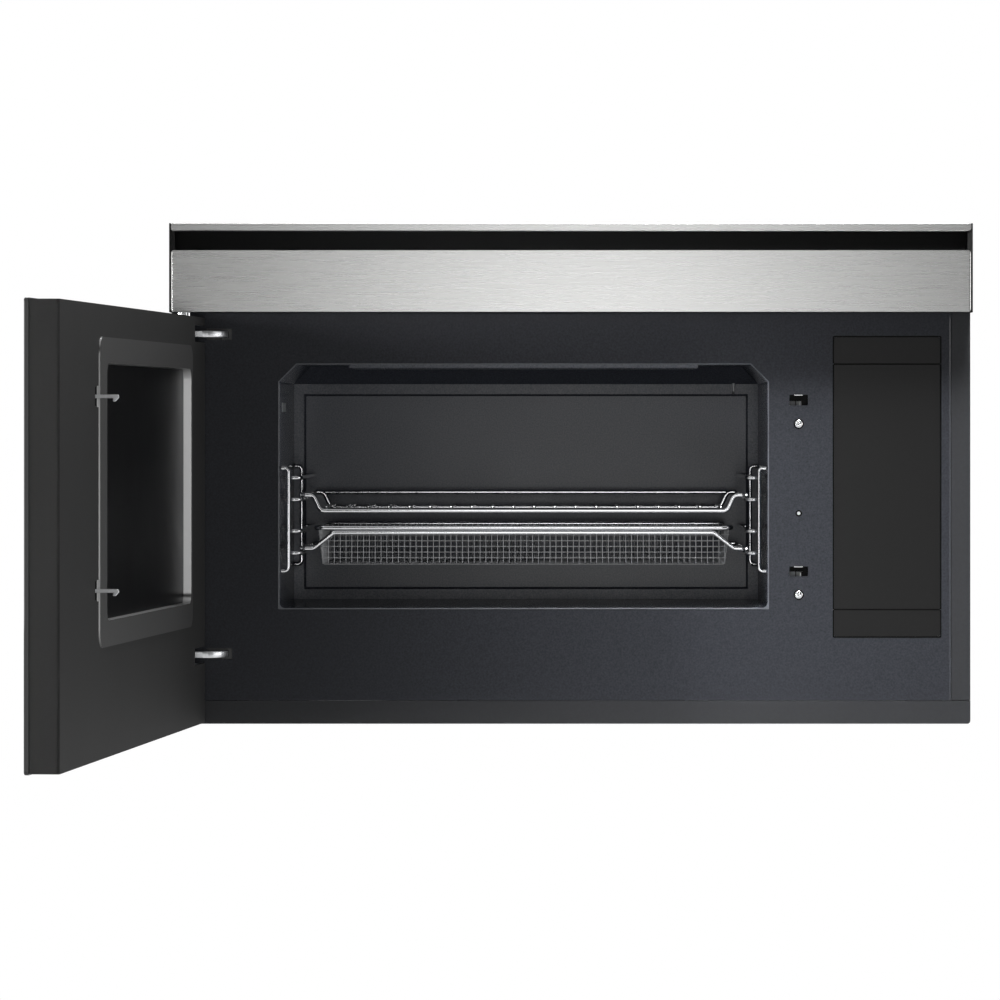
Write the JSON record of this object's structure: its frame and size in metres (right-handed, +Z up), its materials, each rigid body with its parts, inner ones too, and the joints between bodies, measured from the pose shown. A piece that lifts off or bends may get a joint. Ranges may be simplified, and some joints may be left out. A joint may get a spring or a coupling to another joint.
{
  "type": "built-in microwave",
  "caption": "Built-in microwave oven with its side-hinged glass door swung open, wire racks and a mesh basket in the cavity and a vented steel trim above.",
  "frame": {"origin": "on the wall plane, below the middle of the rear panel's lower edge", "axes": "+X to the right seen from the front, +Y into the wall, +Z up"},
  "size_m": [0.8206, 1.1279, 0.475],
  "materials": {
    "case_paint": "dark textured enamel",
    "panel_paint": "fine textured dark grey paint",
    "galvanised": "bare galvanised sheet",
    "enamel": "grey cavity enamel",
    "ceramic": "dark glass ceramic",
    "steel": "brushed stainless steel",
    "chrome": "bright chrome plating",
    "black_plastic": "matt black moulding",
    "grey_plastic": "dark grey moulding",
    "black_glass": "black printed glass",
    "clear_glass": "tinted clear glass",
    "board": "circuit board",
    "aluminium": "plain aluminium",
    "iron": "varnished core and winding",
    "charcoal": "charcoal pad"
  },
  "bodies": {
    "chassis": {"outer_case": "case_paint", "rear_panel": "galvanised", "base_pan": "case_paint", "base_lamp_lens": "clear_glass", "front_panel": "panel_paint", "cover_middle": "grey_plastic", "cover_caps": "grey_plastic", "control_board": "board", "cavity_wrap": "enamel", "cavity_back": "enamel", "cavity_floor": "enamel", "floor_plate": "ceramic", "ceiling_cover": "enamel", "cavity_probe": "steel", "lamp_lens": "clear_glass", "ladder_left": "chrome", "ladder_right": "chrome", "trim_carrier": "black_plastic", "trim_top_strip": "steel", "trim_fascia": "steel", "charcoal_filter": "charcoal", "cord_gland": "black_plastic", "latch_body": "black_plastic", "latch_screws": "steel", "latch_switches": "black_plastic", "hinge_arm_lower": "chrome", "hinge_arm_upper": "chrome", "pivot_plate": "steel", "bay_shelf": "galvanised", "waveguide": "galvanised", "magnetron": "aluminium", "transformer": "iron", "capacitor": "aluminium", "cooling_frame": "black_plastic", "convection_housing": "galvanised", "convection_heater": "steel", "convection_motor": "iron", "blower_housing": "galvanised", "blower_motor": "iron", "antenna_motor": "iron"},
    "door": {"door_glass": "black_glass", "door_frame": "grey_plastic", "choke_cover": "grey_plastic", "window_pane": "clear_glass", "window_screen": "enamel", "touch_board": "board", "hinge_blocks": "galvanised", "hinge_pins": "steel", "latch_spring": "steel"},
    "latch": {"latch_bar": "steel"},
    "upper_rack": {"upper_rack": "chrome"},
    "lower_rack": {"lower_rack": "chrome"},
    "basket": {"fry_basket": "chrome"},
    "cooling_rotor": {"cooling_blade": "black_plastic"},
    "convection_rotor": {"convection_fan": "aluminium"},
    "blower_rotor": {"blower_wheels": "black_plastic"},
    "antenna_rotor": {"antenna": "steel"},
    "filter_left": {"grease_filter_left": "aluminium"},
    "filter_right": {"grease_filter_right": "aluminium"}
  },
  "joints": [
    {"name": "door_hinge", "type": "hinge", "parent": "chassis", "child": "door", "pos_m": [-0.3645, -0.388, 0.2], "axis": [0, 0, -1], "range_deg": [-95, 0]},
    {"name": "latch_travel", "type": "slide", "parent": "door", "child": "latch", "axis": [0, 0, 1], "range_m": [-0.003, 0.0025], "stiffness_N_per_m": 600, "deforming": ["latch_spring"]},
    {"name": "upper_rack_slide", "type": "slide", "parent": "chassis", "child": "upper_rack", "axis": [0, -1, 0], "range_m": [0, 0.2]},
    {"name": "lower_rack_slide", "type": "slide", "parent": "chassis", "child": "lower_rack", "axis": [0, -1, 0], "range_m": [0, 0.2]},
    {"name": "basket_lift", "type": "slide", "parent": "lower_rack", "child": "basket", "axis": [0, 0, 1], "range_m": [0, 0.011]},
    {"name": "cooling_fan_spin", "type": "hinge", "parent": "chassis", "child": "cooling_rotor", "pos_m": [0.295, -0.04, 0.225], "axis": [0, 1, 0], "continuous": true},
    {"name": "convection_fan_spin", "type": "hinge", "parent": "chassis", "child": "convection_rotor", "pos_m": [-0.04515, -0.24, 0.38], "axis": [0, 0, 1], "continuous": true},
    {"name": "blower_spin", "type": "hinge", "parent": "chassis", "child": "blower_rotor", "pos_m": [0, -0.068, 0.411], "axis": [1, 0, 0], "continuous": true},
    {"name": "antenna_spin", "type": "hinge", "parent": "chassis", "child": "antenna_rotor", "pos_m": [-0.04515, -0.226, 0.06], "axis": [0, 0, 1], "continuous": true},
    {"name": "filter_left_drop", "type": "slide", "parent": "chassis", "child": "filter_left", "axis": [0, 0, -1], "range_m": [0, 0.03]},
    {"name": "filter_right_drop", "type": "slide", "parent": "chassis", "child": "filter_right", "axis": [0, 0, -1], "range_m": [0, 0.03]}
  ]
}
